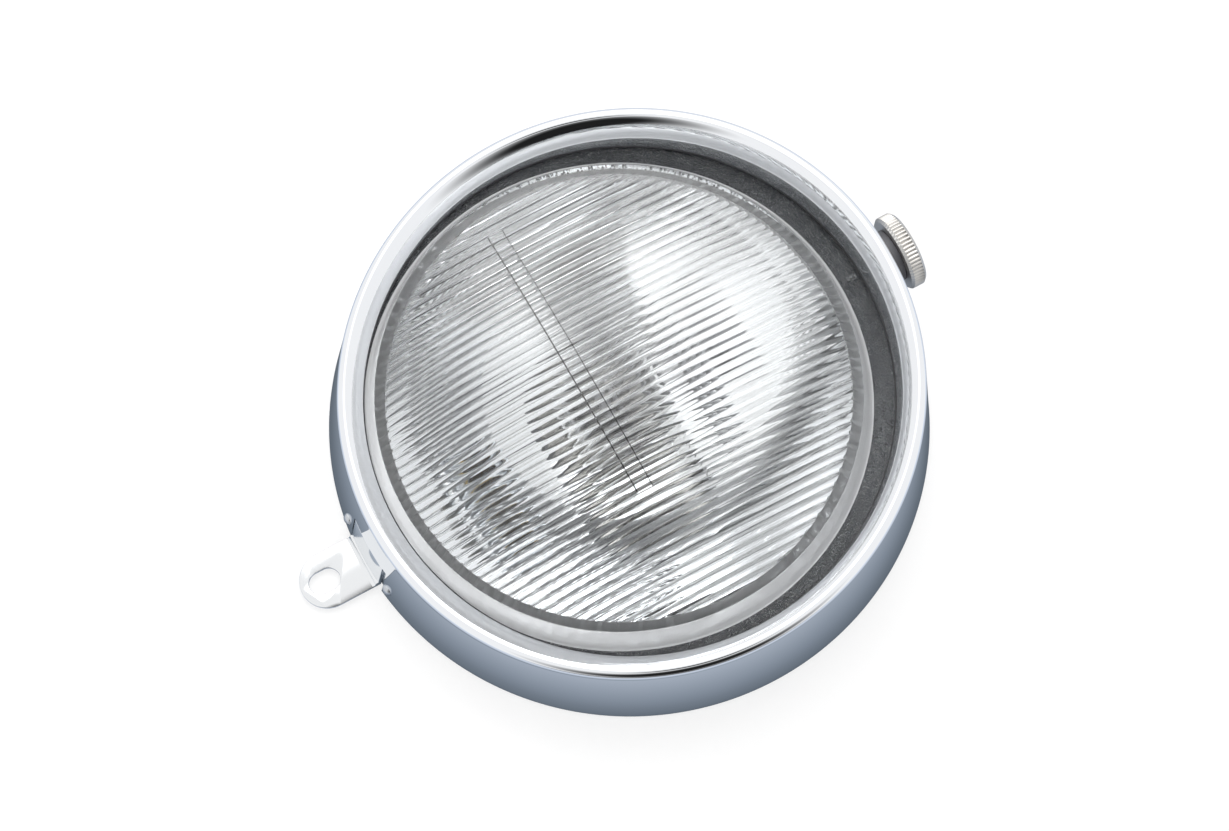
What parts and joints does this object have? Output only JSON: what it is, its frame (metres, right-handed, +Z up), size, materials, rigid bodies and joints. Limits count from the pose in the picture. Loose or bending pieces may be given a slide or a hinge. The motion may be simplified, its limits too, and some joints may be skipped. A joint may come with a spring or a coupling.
{
  "type": "car headlight assembly",
  "caption": "Round headlamp unit: chrome trim ring with slotted tab and knurled nut, domed fluted lens, parabolic reflector, twin-filament bulb in a twist-lock holder.",
  "frame": {"origin": "centre of the trim ring's rear edge, on the plane that seats on the lamp shell", "axes": "+Z up through the knurled nut, -Y forward along the beam out of the lens, +X across"},
  "size_m": [0.16, 0.0995, 0.1814],
  "materials": {
    "chrome": "polished",
    "lens_glass": "clear",
    "bulb_glass": "clear",
    "rubber": "matt",
    "mirror": "polished",
    "zinc": "satin",
    "spring_steel": "satin",
    "nickel": "satin",
    "brass": "satin",
    "phenolic": "satin",
    "black_glass": "gloss",
    "solder": "satin",
    "tungsten": "satin"
  },
  "bodies": {
    "ring": {"trim_ring": "chrome", "mounting_tab": "chrome", "tab_backplate": "zinc", "tab_rivets": "chrome", "lens": "lens_glass", "front_seal": "rubber", "lens_gasket": "rubber", "reflector": "mirror", "clip_lugs": "zinc", "retaining_clips": "spring_steel", "clip_screws": "zinc", "clamp_stud": "zinc", "bulb_neck": "zinc", "bulb_collar": "brass", "bulb_base": "brass", "bulb_insulator": "black_glass", "bulb_glass": "bulb_glass", "bulb_contacts": "solder", "filaments": "tungsten", "filament_supports": "tungsten", "dipping_shield": "tungsten", "pilot_sleeve": "zinc", "earth_tag": "brass", "earth_rivet": "brass"},
    "washer": {"nut_washer": "rubber"},
    "nut": {"thumb_nut": "nickel"},
    "holder": {"socket_cap": "zinc", "contact_spring": "spring_steel"},
    "contacts": {"contact_plate": "phenolic", "contact_studs": "brass", "terminal_blades": "brass"},
    "pilot": {"pilot_holder": "phenolic", "pilot_base": "brass", "pilot_glass": "bulb_glass", "pilot_terminal": "brass"}
  },
  "joints": [
    {"name": "washer_lift", "type": "slide", "parent": "ring", "child": "washer", "axis": [0, 0, 1], "range_m": [0, 0.003]},
    {"name": "nut_turn", "type": "hinge", "parent": "washer", "child": "nut", "pos_m": [0, -0.024, 0.08], "axis": [0, 0, 1], "range_deg": [0, 1350]},
    {"name": "holder_twist", "type": "hinge", "parent": "ring", "child": "holder", "pos_m": [0, 0.03, -0.0032], "axis": [0, -1, 0], "range_deg": [0, 30]},
    {"name": "contact_push", "type": "slide", "parent": "holder", "child": "contacts", "axis": [0, 1, 0], "range_m": [0, 0.0025], "stiffness_N_per_m": 600, "springref_m": -0.004, "deforming": ["contact_spring"]},
    {"name": "pilot_pull", "type": "slide", "parent": "ring", "child": "pilot", "axis": [0, 1, 0], "range_m": [0, 0.0075]}
  ],
  "couplings": [
    {"joint": "washer_lift", "follows": "nut_turn", "m_per_rad": 0.00012732}
  ]
}
